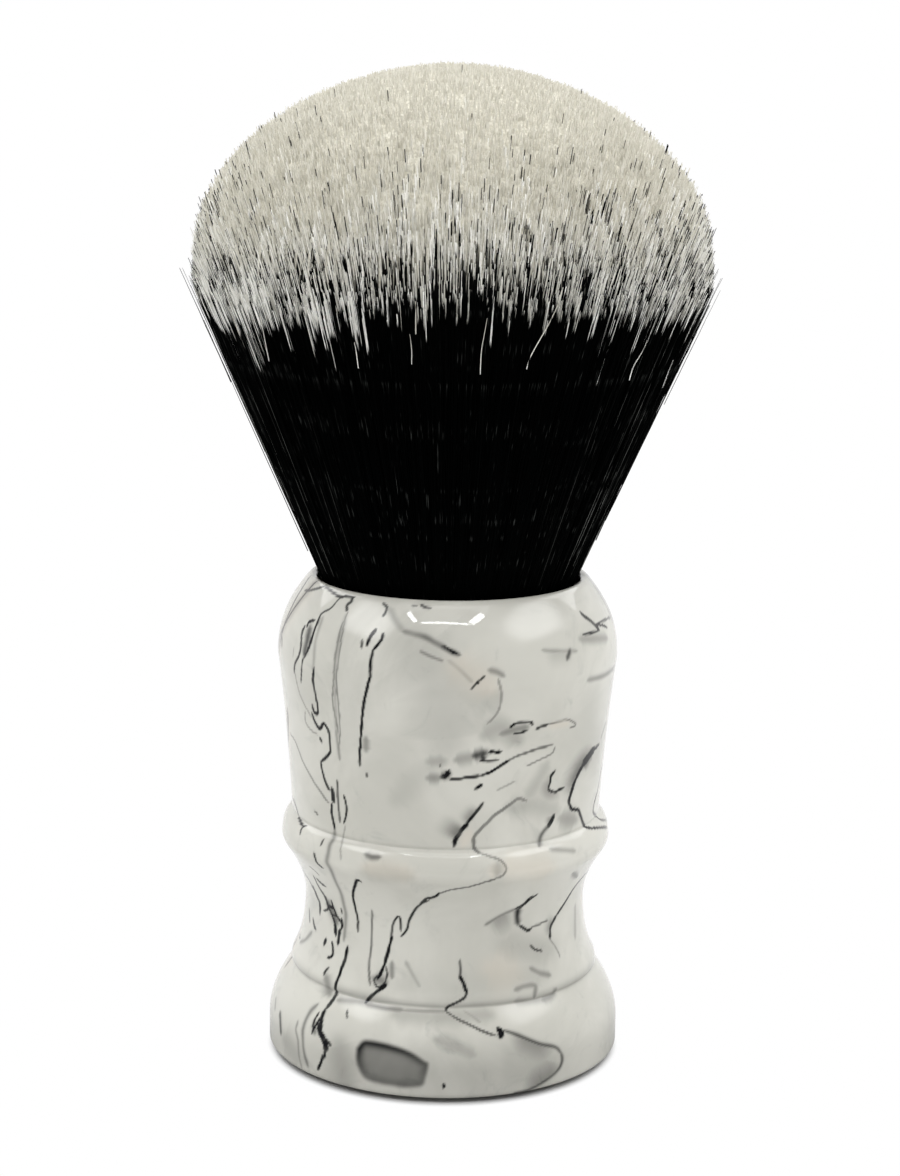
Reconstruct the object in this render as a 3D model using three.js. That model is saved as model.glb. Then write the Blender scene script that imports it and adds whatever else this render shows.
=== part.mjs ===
// Shaving brush: a turned marbled handle that holds a fan-shaped fibre knot.
// Millimetres, +Z up. The origin is the centre of the foot, on the surface the brush stands on.

import * as THREE from 'three';

// ---- Driving dimensions ---------------------------------------------------------------------

// Knot plug, the cast cup that holds the fibre roots
const plugRadius = 15.0;
const plugHeight = 10.0;
const plugWall = 1.6;
const plugFloor = 1.6;
const plugChamfer = 0.7;
const plugBevel = 0.5;
const keyGrooveDepth = 0.5;
const keyGrooveWidth = 1.2;
const keyGrooveCount = 2;

// Fits
const glueLine = 0.3;          // plug to socket, all round
const fitGap = 0.3;            // fibres to plug, thread to fibres
const glueBed = 1.0;           // adhesive under the plug

// Handle, band by band from the foot upwards: heights, and how far each form steps in or out
const footWallHeight = 4.4;
const footShoulderHeight = 5.6;
const beadHeight = 1.4;
const lowerWaistHeight = 7.1;
const upperWaistHeight = 6.4;
const ledgeHeight = 1.4;
const ledgeShoulderHeight = 2.5;
const barrelHeight = 19.0;
const shoulderHeight = 8.8;
const lipRounding = 0.45;
const lipWidth = 1.3;
const barrelWall = 4.7;        // at the widest place of the barrel
const barrelTaper = 1.7;
const ledgeOverhang = 1.2;
const waistDepth = 2.85;       // below the ledge
const beadRise = 1.5;          // above the waist
const footRise = 2.8;          // above the bead
const footEdgeRounding = 0.5;
const footRingWidth = 5.0;     // the flat ring that the brush stands on
const footDishDepth = 0.8;
const footDishSlope = 3.0;
const beadTaper = 0.3;         // the bead is this much narrower at its top than at its foot
const ledgeCrown = 0.1;        // control point of the ledge's nose, beyond its radius
const ledgeUndercut = 0.35;    // nose to the underside of the ledge
const ledgeSetback = 0.05;     // nose to the top of the ledge
const creaseDepth = 0.15;      // cut in where the foot and the ledge meet the form above them
const creaseRise = 0.25;       // height over which a crease comes out again

// How the bands bend: share of the way across and up at which each curve's control point sits
const footShoulderBend = { across: 0.3, up: 0.5 };
const beadBend = { across: 0.2, up: 0.65 };
const lowerWaistBend = { across: 0.97, up: 0.36 };
const upperWaistBend = { across: 0.02, up: 0.45 };
const ledgeShoulderBend = { across: 0.05, up: 0.72 };
const barrelBend = { across: 0.33, up: 0.53 };
const shoulderRise = 0.4;      // the shoulder leaves the barrel upright for this share of its height
const shoulderBend = { across: 0.32, up: 0.68 };

// Socket
const socketDepth = 15.0;
const dimpleRadius = 2.2;      // left by the drill point
const dimpleDepth = 1.0;

// Fibres
const bulbRadius = 29.5;
const bulbHeight = 36.5;       // mouth to the widest place
const turnHeight = 8.5;        // the straight flare starts to turn upright this far below it
const flareEndDrop = 2.8;      // left straight, the flare would reach the full radius this far below
const domeHeight = 22.6;       // widest place to the crown
const domePower = 1.9;         // 2 would be a half ellipse, less is more pointed
const dyeDrop = 2.0;           // widest place down to the line where the black dye ends
const lockCount = 40;
const lockDepth = 0.6;         // groove between two locks of fibre, at the widest place
const lockSwell = 0.3;         // how much the grooves differ from each other
const swellWaves = 12;         // times that this difference repeats round the knot

// Binding thread
const threadRadius = 0.35;
const threadPitch = 1.0;
const threadTurns = 4;
const threadSeat = 1.1;        // how deep the thread pulls the roots in

// Facets
const facetLength = 2.0;
const handleSegments = 64;
const innerSegments = 40;
const stepsPerLock = 3;
const shaftStations = 10;
const domeStations = 12;
const threadSteps = 20;        // per turn
const threadSides = 6;

// ---- Derived sizes --------------------------------------------------------------------------

const socketRadius = plugRadius + glueLine;

const barrelRadius = socketRadius + barrelWall;
const barrelFootRadius = barrelRadius - barrelTaper;
const ledgeRadius = barrelFootRadius + ledgeOverhang;
const waistRadius = ledgeRadius - waistDepth;
const beadRadius = waistRadius + beadRise;
const footRadius = beadRadius + footRise;

const beadZ = footWallHeight + footShoulderHeight;
const lowerWaistZ = beadZ + beadHeight;
const waistZ = lowerWaistZ + lowerWaistHeight;
const ledgeZ = waistZ + upperWaistHeight;
const ledgeTopZ = ledgeZ + ledgeHeight;
const barrelZ = ledgeTopZ + ledgeShoulderHeight;
const shoulderZ = barrelZ + barrelHeight;
const mouthZ = shoulderZ + shoulderHeight;

const socketFloorZ = mouthZ - socketDepth;
const plugZ = socketFloorZ + glueBed;
const plugTopZ = plugZ + plugHeight;
const rootZ = plugZ + plugFloor;
const cupRadius = plugRadius - plugWall;
const rootRadius = cupRadius - fitGap;
const boundRadius = rootRadius - threadSeat;

const bulbZ = mouthZ + bulbHeight;
const turnZ = bulbZ - turnHeight;
const flareEndZ = bulbZ - flareEndDrop;
const flare = (bulbRadius - rootRadius) / (flareEndZ - plugTopZ);
const dyeZ = bulbZ - dyeDrop;
const crownZ = bulbZ + domeHeight;

// ---- Outlines -------------------------------------------------------------------------------
// Each outline is a path in (radius, height), run so that its revolved faces point outwards.

// Points of a path. A curve is cut into facets of about one length, a straight line keeps its ends.
function outline(path) {
  const points = [];
  for (const curve of path.curves) {
    const facets = THREE.MathUtils.clamp(Math.round(curve.getLength() / facetLength), 2, 6);
    for (const point of curve.getPoints(curve.isLineCurve ? 1 : facets)) {
      const last = points[points.length - 1];
      if (!last || last.distanceTo(point) > 1e-4) points.push(point);
    }
  }
  return points;
}

function revolve(points, segments) {
  return new THREE.LatheGeometry(points, segments).rotateX(Math.PI / 2);
}

// A cove or bulge from the path's last point to (radius, height).
function sweepTo(path, radius, height, bend) {
  const { x, y } = path.currentPoint;
  const controlRadius = THREE.MathUtils.lerp(x, radius, bend.across);
  const controlHeight = THREE.MathUtils.lerp(y, height, bend.up);
  path.quadraticCurveTo(controlRadius, controlHeight, radius, height);
}

// A bulge that runs into a crease under the form that starts at (radius, height).
function shoulderTo(path, radius, height, bend) {
  sweepTo(path, radius - creaseDepth, height, bend);
  path.lineTo(radius, height + creaseRise);
}

// ---- Handle ---------------------------------------------------------------------------------

function handleOutline() {
  const path = new THREE.Path();
  const ringInner = footRadius - footEdgeRounding - footRingWidth;

  // Underside: a shallow dish inside a flat ring
  path.moveTo(0, footDishDepth);
  path.lineTo(ringInner - footDishSlope, footDishDepth);
  path.lineTo(ringInner, 0);
  path.lineTo(footRadius - footEdgeRounding, 0);

  // Foot: an upright wall with its edge eased, and a shoulder that closes in on the bead
  path.quadraticCurveTo(footRadius, 0, footRadius, footEdgeRounding);
  path.lineTo(footRadius, footWallHeight);
  shoulderTo(path, beadRadius + beadTaper / 2, beadZ, footShoulderBend);

  // Bead and the long waist
  sweepTo(path, beadRadius - beadTaper / 2, lowerWaistZ, beadBend);
  sweepTo(path, waistRadius, waistZ, lowerWaistBend);
  sweepTo(path, ledgeRadius - ledgeUndercut, ledgeZ, upperWaistBend);

  // Ledge: a rounded nose, and a shoulder that closes in on the barrel
  const noseZ = ledgeZ + ledgeHeight / 2;
  path.quadraticCurveTo(ledgeRadius + ledgeCrown, noseZ, ledgeRadius - ledgeSetback, ledgeTopZ);
  shoulderTo(path, barrelFootRadius, barrelZ, ledgeShoulderBend);

  // Barrel, and the shoulder that closes in on the lip
  sweepTo(path, barrelRadius, shoulderZ, barrelBend);
  const lipOuter = socketRadius + lipWidth;
  path.bezierCurveTo(
    barrelRadius,
    shoulderZ + shoulderRise * shoulderHeight,
    THREE.MathUtils.lerp(barrelRadius, lipOuter, shoulderBend.across),
    shoulderZ + shoulderBend.up * shoulderHeight,
    lipOuter,
    mouthZ,
  );

  // Lip, rolled over into the socket
  const lipMiddle = socketRadius + lipWidth / 2;
  const lipTopZ = mouthZ + lipRounding;
  path.quadraticCurveTo(lipMiddle + lipWidth / 6, lipTopZ, lipMiddle, lipTopZ);
  path.quadraticCurveTo(socketRadius, lipTopZ, socketRadius, mouthZ - lipRounding);

  // Socket with its flat floor and the drill point's dimple
  path.lineTo(socketRadius, socketFloorZ);
  path.lineTo(dimpleRadius, socketFloorZ);
  path.lineTo(0, socketFloorZ - dimpleDepth);
  return outline(path);
}

// ---- What the socket holds ------------------------------------------------------------------

function adhesiveOutline() {
  const path = new THREE.Path();
  path.moveTo(0, socketFloorZ - dimpleDepth + fitGap);
  path.lineTo(dimpleRadius - fitGap, socketFloorZ);
  path.lineTo(plugRadius, socketFloorZ);
  path.lineTo(plugRadius, plugZ);
  path.lineTo(0, plugZ);
  return outline(path);
}

function plugOutline() {
  const path = new THREE.Path();
  path.moveTo(0, plugZ);
  path.lineTo(plugRadius - plugChamfer, plugZ);
  path.lineTo(plugRadius, plugZ + plugChamfer);

  // Grooves that key the plug into the glue
  const spacing = (plugHeight - plugChamfer) / (keyGrooveCount + 1);
  for (let i = 1; i <= keyGrooveCount; i++) {
    const middle = plugZ + plugChamfer + i * spacing;
    path.lineTo(plugRadius, middle - keyGrooveWidth / 2);
    path.lineTo(plugRadius - keyGrooveDepth, middle - keyGrooveWidth / 2 + keyGrooveDepth / 2);
    path.lineTo(plugRadius - keyGrooveDepth, middle + keyGrooveWidth / 2 - keyGrooveDepth / 2);
    path.lineTo(plugRadius, middle + keyGrooveWidth / 2);
  }

  // Rim, bevelled inside where the fibres start to flare
  path.lineTo(plugRadius, plugTopZ);
  path.lineTo(cupRadius + plugBevel, plugTopZ);
  path.lineTo(cupRadius, plugTopZ - plugBevel);
  path.lineTo(cupRadius, rootZ);
  path.lineTo(0, rootZ);
  return outline(path);
}

// The thread is wound round the roots, half way up the cup.
const threadSpan = threadTurns * threadPitch;
const threadMiddleZ = (rootZ + plugTopZ) / 2;

function threadGeometry() {
  const radius = boundRadius + fitGap + threadRadius;
  const points = [];
  for (let i = 0; i <= threadTurns * threadSteps; i++) {
    const turn = i / threadSteps;
    const angle = turn * 2 * Math.PI;
    const z = threadMiddleZ - threadSpan / 2 + turn * threadPitch;
    points.push(new THREE.Vector3(radius * Math.cos(angle), radius * Math.sin(angle), z));
  }
  const section = new THREE.Shape();
  for (let i = 0; i < threadSides; i++) {
    const angle = (i / threadSides) * 2 * Math.PI;
    const x = threadRadius * Math.cos(angle);
    const y = threadRadius * Math.sin(angle);
    if (i === 0) section.moveTo(x, y);
    else section.lineTo(x, y);
  }
  section.closePath();
  return new THREE.ExtrudeGeometry(section, {
    steps: threadTurns * threadSteps,
    extrudePath: new THREE.CatmullRomCurve3(points),
    bevelEnabled: false,
  });
}

// ---- Fibres ---------------------------------------------------------------------------------

// The knot's side: a straight flare out of the plug, then a turn that ends upright at the widest
// place. The turn's control point is where the straight flare would reach the full radius.
function sideRadius(z) {
  if (z <= turnZ) return rootRadius + flare * (z - plugTopZ);
  const turn = new THREE.QuadraticBezierCurve(
    new THREE.Vector2(sideRadius(turnZ), turnZ),
    new THREE.Vector2(bulbRadius, flareEndZ),
    new THREE.Vector2(bulbRadius, bulbZ),
  );
  // The curve's height is a quadratic in its parameter.
  const rise = turnHeight - flareEndDrop;
  const bend = flareEndDrop - rise;
  const climb = z - turnZ;
  return turn.getPoint(climb / (rise + Math.sqrt(rise * rise + bend * climb))).x;
}

function sidePoints(fromZ, toZ, count) {
  const points = [];
  for (let i = 0; i <= count; i++) {
    const z = THREE.MathUtils.lerp(fromZ, toZ, i / count);
    points.push(new THREE.Vector2(sideRadius(z), z));
  }
  return points;
}

// Grooves between the locks grow with height, and fade out again towards the crown.
function grooveDepth(radius, z) {
  const growth = THREE.MathUtils.smoothstep(z, mouthZ + lipRounding, bulbZ);
  const fade = THREE.MathUtils.smoothstep(radius, 0, bulbRadius * 0.75);
  return lockDepth * growth * fade;
}

// A revolved outline whose surface is drawn into locks of fibre.
function locks(points) {
  const segments = lockCount * stepsPerLock;
  const geometry = new THREE.LatheGeometry(points, segments);
  const position = geometry.attributes.position;
  for (let i = 0; i < position.count; i++) {
    const step = Math.floor(i / points.length) % segments;
    const lock = Math.floor((step + stepsPerLock / 2) / stepsPerLock) % lockCount;
    const valley = Math.abs(Math.cos((Math.PI * step) / stepsPerLock));
    const swell = 1 + lockSwell * Math.sin((2 * Math.PI * swellWaves * lock) / lockCount);
    const point = points[i % points.length];
    if (point.x === 0) continue;
    const scale = 1 - (grooveDepth(point.x, point.y) * valley * valley * swell) / point.x;
    position.setX(i, position.getX(i) * scale);
    position.setZ(i, position.getZ(i) * scale);
  }
  return geometry.rotateX(Math.PI / 2);
}

function shaftOutline() {
  const path = new THREE.Path();
  const seatBottom = threadMiddleZ - threadSpan / 2 - 2 * threadRadius;
  const seatTop = threadMiddleZ + threadSpan / 2 + 2 * threadRadius;

  // Roots in the cup, waisted where the thread binds them
  path.moveTo(0, rootZ);
  path.lineTo(rootRadius, rootZ);
  path.lineTo(rootRadius, seatBottom - threadSeat / 2);
  path.lineTo(boundRadius, seatBottom);
  path.lineTo(boundRadius, seatTop);
  path.lineTo(rootRadius, seatTop + threadSeat / 2);
  path.lineTo(rootRadius, plugTopZ - plugBevel);

  // The flare out of the socket, cut level at the dye line
  return [...outline(path), ...sidePoints(plugTopZ, dyeZ, shaftStations), new THREE.Vector2(0, dyeZ)];
}

function tipOutline() {
  const points = [new THREE.Vector2(0, dyeZ), ...sidePoints(dyeZ, bulbZ, 1)];
  for (let i = 1; i < domeStations; i++) {
    const angle = (i / domeStations) * (Math.PI / 2);
    const radius = bulbRadius * Math.cos(angle) ** (2 / domePower);
    points.push(new THREE.Vector2(radius, bulbZ + domeHeight * Math.sin(angle)));
  }
  points.push(new THREE.Vector2(0, crownZ));
  return points;
}

// ---- Assembly -------------------------------------------------------------------------------

const brush = new THREE.Group();

function addPiece(name, geometry, color, roughness) {
  const material = new THREE.MeshStandardMaterial({ color, roughness, metalness: 0 });
  const mesh = new THREE.Mesh(geometry, material);
  mesh.name = name;
  brush.add(mesh);
}

addPiece('handle', revolve(handleOutline(), handleSegments), 0xc3c4bc, 0.15);
addPiece('adhesive_bed', revolve(adhesiveOutline(), innerSegments), 0xc9b98a, 0.4);
addPiece('knot_plug', revolve(plugOutline(), innerSegments), 0xd8d2bd, 0.35);
addPiece('binding_thread', threadGeometry(), 0xe9e4d6, 0.9);
addPiece('fibre_shafts', locks(shaftOutline()), 0x0a0b0a, 0.55);
addPiece('fibre_tips', locks(tipOutline()), 0xd2ccb8, 0.8);

export default brush;
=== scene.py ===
"""Looks of the shaving brush: marbled resin handle and a two-tone fibre knot.

Lengths are in millimetres until a mesh is made; MM turns them into metres. Angles round the
brush are in degrees, 0 at the front (towards the camera) and growing towards +X.
"""

import math

import bpy
import numpy as np
from mathutils import Matrix, Vector


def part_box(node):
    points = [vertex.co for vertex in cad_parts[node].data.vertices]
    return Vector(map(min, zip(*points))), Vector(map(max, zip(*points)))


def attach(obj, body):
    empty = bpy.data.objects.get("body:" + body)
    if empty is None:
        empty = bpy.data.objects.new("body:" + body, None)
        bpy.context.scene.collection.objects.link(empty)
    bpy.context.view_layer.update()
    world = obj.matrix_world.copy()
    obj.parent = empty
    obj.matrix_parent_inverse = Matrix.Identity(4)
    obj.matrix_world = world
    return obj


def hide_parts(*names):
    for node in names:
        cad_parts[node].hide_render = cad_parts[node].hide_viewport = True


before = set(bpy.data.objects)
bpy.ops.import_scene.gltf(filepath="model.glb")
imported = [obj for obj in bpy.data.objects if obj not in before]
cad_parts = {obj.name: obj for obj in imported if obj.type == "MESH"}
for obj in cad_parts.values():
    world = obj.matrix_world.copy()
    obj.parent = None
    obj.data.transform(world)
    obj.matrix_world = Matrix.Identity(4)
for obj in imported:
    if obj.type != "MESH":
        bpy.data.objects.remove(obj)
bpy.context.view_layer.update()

MM = 0.001


def extents(name):
    """Radius, lowest and highest point of a CAD node, in millimetres."""
    low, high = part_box(name)
    return high[0] / MM, low[2] / MM, high[2] / MM


# ---- Sizes taken from the frame ---------------------------------------------

FOOT_RADIUS, _, HANDLE_TOP = extents("handle")
PLUG_RADIUS, _, PLUG_TOP = extents("knot_plug")
_, ROOT_BOTTOM, _ = extents("fibre_shafts")
_, THREAD_LOW, THREAD_HIGH = extents("binding_thread")
_, _, CROWN_Z = extents("fibre_tips")

# ---- Camera: the photograph's frame and viewpoint ---------------------------

PHOTO_SIZE = (900, 1176)
FOCAL_PX = 2699
CAMERA_PLACE = np.array([0.17, -310.4, 119.6])
CAMERA_PITCH = math.radians(11.72)
CAMERA_ROLL = math.radians(0.8)
SENSOR = 36


def camera_axes():
    """Right, up and forward of the photograph's camera."""
    cp, sp = math.cos(CAMERA_PITCH), math.sin(CAMERA_PITCH)
    cr, sr = math.cos(CAMERA_ROLL), math.sin(CAMERA_ROLL)
    level_right = np.array([1.0, 0.0, 0.0])
    level_up = np.array([0.0, sp, cp])
    forward = np.array([0.0, cp, -sp])
    return cr * level_right + sr * level_up, -sr * level_right + cr * level_up, forward


def rays_through(pixels):
    """Directions from the camera through pixels of the photograph."""
    right, up, forward = camera_axes()
    x = (pixels[:, 0] - PHOTO_SIZE[0] / 2) / FOCAL_PX
    y = (PHOTO_SIZE[1] / 2 - pixels[:, 1]) / FOCAL_PX
    return forward + x[:, None] * right + y[:, None] * up


def to_pixels(points):
    """Where points in millimetres show in the photograph."""
    right, up, forward = camera_axes()
    seen = points - CAMERA_PLACE
    depth = seen @ forward
    x = PHOTO_SIZE[0] / 2 + FOCAL_PX * (seen @ right) / depth
    y = PHOTO_SIZE[1] / 2 - FOCAL_PX * (seen @ up) / depth
    return np.stack([x, y], -1)


def add_camera():
    right, up, forward = camera_axes()
    data = bpy.data.cameras.new("camera")
    data.sensor_width = SENSOR
    data.lens = SENSOR * FOCAL_PX / PHOTO_SIZE[1]
    data.clip_start = 0.01
    camera = bpy.data.objects.new("camera", data)
    turn = Matrix((right, up, -forward)).transposed().to_4x4()
    camera.matrix_world = Matrix.Translation(Vector(CAMERA_PLACE * MM)) @ turn
    bpy.context.scene.collection.objects.link(camera)
    bpy.context.scene.camera = camera


# ---- Mesh and node helpers --------------------------------------------------


def smoothstep(low, high, x):
    t = np.clip((x - low) / (high - low), 0, 1)
    return t * t * (3 - 2 * t)


def around(angle, radius, height):
    """Points at angles round the brush's axis."""
    return np.stack(np.broadcast_arrays(radius * np.sin(angle), -radius * np.cos(angle), height), -1)


def sideways(angle, by):
    """Shifts along the girth at angles round the brush's axis."""
    return np.stack(np.broadcast_arrays(by * np.cos(angle), by * np.sin(angle), 0.0), -1)


def make_mesh(name, points, faces, uv=None, values=None):
    """A smooth mesh from arrays: points in millimetres, faces all of one corner count or a list
    of such arrays, uv per corner, and named values per point."""
    groups = faces if isinstance(faces, list) else [faces]
    corners = np.concatenate([g.ravel() for g in groups]).astype(np.int32)
    counts = np.concatenate([np.full(len(g), g.shape[1]) for g in groups])
    starts = (np.cumsum(counts) - counts).astype(np.int32)
    mesh = bpy.data.meshes.new(name)
    mesh.vertices.add(len(points))
    mesh.vertices.foreach_set("co", (points * MM).astype(np.float32).ravel())
    mesh.loops.add(len(corners))
    mesh.loops.foreach_set("vertex_index", corners)
    mesh.polygons.add(len(counts))
    mesh.polygons.foreach_set("loop_start", starts)
    mesh.update(calc_edges=True)
    mesh.polygons.foreach_set("use_smooth", np.ones(len(counts), bool))
    if uv is not None:
        layer = mesh.uv_layers.new(name="OFBake")
        layer.data.foreach_set("uv", uv.astype(np.float32).ravel())
    for key, value in (values or {}).items():
        attribute = mesh.attributes.new(key, "FLOAT", "POINT")
        attribute.data.foreach_set("value", value.astype(np.float32).ravel())
    mesh.validate()
    obj = bpy.data.objects.new(name, mesh)
    bpy.context.scene.collection.objects.link(obj)
    return obj


def revolve(name, outline, turns, values=None):
    """A closed surface of revolution. The outline (radius, height) runs from the axis to the axis,
    so that faces point outwards when it climbs on the outside. turns are the places of its columns
    round the axis, from 0 to under 1."""
    rings = outline[1:-1]
    columns = len(turns)
    points = around(turns * 2 * math.pi, rings[:, 0, None], rings[:, 1, None]).reshape(-1, 3)
    poles = np.array([[0, 0, outline[0, 1]], [0, 0, outline[-1, 1]]])
    points = np.concatenate([points, poles])
    low_pole, high_pole = len(points) - 2, len(points) - 1

    row, column = np.meshgrid(np.arange(len(rings) - 1), np.arange(columns), indexing="ij")
    row, column = row.ravel(), column.ravel()
    after = (column + 1) % columns
    quads = np.stack([
        row * columns + column, row * columns + after,
        (row + 1) * columns + after, (row + 1) * columns + column,
    ], -1)
    ends = np.arange(columns)
    ends_after = (ends + 1) % columns
    last = (len(rings) - 1) * columns
    low = np.stack([np.full(columns, low_pole), ends_after, ends], -1)
    high = np.stack([np.full(columns, high_pole), last + ends, last + ends_after], -1)

    lengths = np.linalg.norm(np.diff(outline, axis=0), axis=1)
    along = np.concatenate([[0], np.cumsum(lengths)]) / lengths.sum()
    v = along[1:-1]
    share = np.append(turns, 1.0)
    middle = (share[:-1] + share[1:]) / 2

    def corner(u, height):
        return np.stack(np.broadcast_arrays(u, height), -1)

    quad_uv = np.stack([
        corner(share[column], v[row]), corner(share[column + 1], v[row]),
        corner(share[column + 1], v[row + 1]), corner(share[column], v[row + 1]),
    ], 1)
    low_uv = np.stack([corner(middle, 0.0), corner(share[1:], v[0]), corner(share[:-1], v[0])], 1)
    high_uv = np.stack([corner(middle, 1.0), corner(share[:-1], v[-1]), corner(share[1:], v[-1])], 1)
    uv = np.concatenate([quad_uv.reshape(-1, 2), low_uv.reshape(-1, 2), high_uv.reshape(-1, 2)])
    padded = {k: np.concatenate([a[1:-1].ravel(), [0, 0]]) for k, a in (values or {}).items()}
    return make_mesh(name, points, [quads, low, high], uv, padded)


class Tree:
    """A node tree, with a short way to add and join nodes."""

    def __init__(self, tree):
        self.tree = tree

    def join(self, value, socket):
        """Links a socket or sets a constant."""
        if isinstance(value, bpy.types.NodeSocket):
            self.tree.links.new(value, socket)
        else:
            socket.default_value = value

    def add(self, kind, inputs=None, **settings):
        node = self.tree.nodes.new("ShaderNode" + kind)
        for key, value in settings.items():
            setattr(node, key, value)
        for key, value in (inputs or {}).items():
            self.join(value, node.inputs[key])
        return node

    def math(self, operation, a, b=0.0, c=0.0):
        return self.add("Math", {0: a, 1: b, 2: c}, operation=operation).outputs[0]

    def ramp(self, value, low, high, to_low=0.0, to_high=1.0):
        """Smooth step of value between low and high."""
        node = self.add(
            "MapRange",
            {"Value": value, "From Min": low, "From Max": high, "To Min": to_low, "To Max": to_high},
            interpolation_type="SMOOTHSTEP",
        )
        return node.outputs["Result"]

    def split(self, vector):
        return self.add("SeparateXYZ", {0: vector}).outputs

    def mix(self, share, a, b):
        node = self.add("Mix", data_type="RGBA")
        sockets = {"Factor_Float": share, "A_Color": a, "B_Color": b}
        for socket in node.inputs:
            if socket.identifier in sockets:
                self.join(sockets[socket.identifier], socket)
        return next(s for s in node.outputs if s.identifier == "Result_Color")

    def noise(self, place, scale, detail=2.0, roughness=0.5, distortion=0.0):
        inputs = {
            "Vector": place, "Scale": scale, "Detail": detail, "Roughness": roughness,
            "Distortion": distortion,
        }
        return self.add("TexNoise", inputs).outputs["Fac"]


class Nodes(Tree):
    """A material and its node tree."""

    def __init__(self, name):
        self.material = bpy.data.materials.new(name)
        self.material.use_nodes = True
        super().__init__(self.material.node_tree)
        self.shader = self.tree.nodes["Principled BSDF"]

    def attribute(self, name):
        return self.add("Attribute", attribute_name=name).outputs["Fac"]

    def set(self, **values):
        for key, value in values.items():
            self.join(value, self.shader.inputs[key.replace("_", " ")])

    def bump(self, height, strength, distance):
        node = self.add("Bump", {"Height": height, "Strength": strength, "Distance": distance})
        self.join(node.outputs["Normal"], self.shader.inputs["Normal"])


def srgb(red, green, blue):
    """A colour written as on a screen, 0 to 255, as linear values."""
    linear = []
    for c in (red, green, blue):
        c /= 255
        linear.append(c / 12.92 if c <= 0.04045 else ((c + 0.055) / 1.055) ** 2.4)
    return (*linear, 1.0)


def dress(obj, material):
    obj.data.materials.clear()
    obj.data.materials.append(material)
    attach(obj, "root")


# ---- Handle: the turned outline ---------------------------------------------

GLUE_LINE, BARREL_WALL, BARREL_TAPER = 0.3, 4.7, 1.7
LEDGE_OVERHANG, WAIST_DEPTH, BEAD_RISE = 1.2, 2.85, 1.5
SOCKET_RADIUS = PLUG_RADIUS + GLUE_LINE
BARREL_RADIUS = SOCKET_RADIUS + BARREL_WALL
GROOVE_RADIUS = BARREL_RADIUS - BARREL_TAPER
LEDGE_RADIUS = GROOVE_RADIUS + LEDGE_OVERHANG
WAIST_RADIUS = LEDGE_RADIUS - WAIST_DEPTH
BEAD_RADIUS = WAIST_RADIUS + BEAD_RISE

# Foot wall, foot shoulder, bead, lower and upper waist, ledge, ledge shoulder and barrel
FORM_HEIGHTS = (4.4, 5.6, 1.4, 7.1, 6.4, 1.4, 2.5, 19.0)
(
    WALL_TOP, BEAD_Z, LOWER_WAIST_Z, WAIST_Z, LEDGE_Z, LEDGE_TOP, BARREL_Z, SHOULDER_Z,
) = np.cumsum(FORM_HEIGHTS)
CREASE = np.array([0.15, 0.25])    # how deep it is cut in, and over what height it comes out
BEAD_TAPER = 0.15                  # in at its top and out at its foot
LEDGE_UNDERCUT, LEDGE_SETBACK, LEDGE_CROWN = 0.35, 0.05, 0.1
SHOULDER_RISE, SHOULDER_BEND = 0.4, (0.32, 0.68)

SOCKET_DEPTH = 15.0
DIMPLE = (2.2, 1.0)                # radius and depth
LIP_WIDTH, LIP_ROUNDING = 1.3, 0.45
MOUTH_Z = HANDLE_TOP - LIP_ROUNDING
FOOT_EDGE, FOOT_RING = 0.5, 5.0
DISH_DEPTH, DISH_SLOPE = 0.8, 3.0

OUTLINE_STEP = 0.2    # along the outline, where the marbling shows
GRID_COLUMNS = 720    # of the marbling, all round
FINE_SHARE = 0.236    # the mesh keeps every column this far round to both sides, and half of the rest


def bezier(*controls, count=48):
    """Points of a quadratic or cubic curve."""
    t = np.linspace(0, 1, count)[:, None]
    points = [np.array(c, float)[None] for c in controls]
    while len(points) > 1:
        points = [a * (1 - t) + b * t for a, b in zip(points, points[1:])]
    return points[0]


def bend(start, end, across, up):
    """A curve whose control point sits the given shares of the way across and up."""
    control = (start[0] + (end[0] - start[0]) * across, start[1] + (end[1] - start[1]) * up)
    return bezier(start, control, end)


def even(points, step):
    """The same line with points at about one spacing."""
    lengths = np.linalg.norm(np.diff(points, axis=0), axis=1)
    along = np.concatenate([[0], np.cumsum(lengths)])
    count = max(2, round(along[-1] / step) + 1)
    at = np.linspace(0, along[-1], count)
    return np.stack([np.interp(at, along, points[:, k]) for k in range(points.shape[1])], -1)


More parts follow.
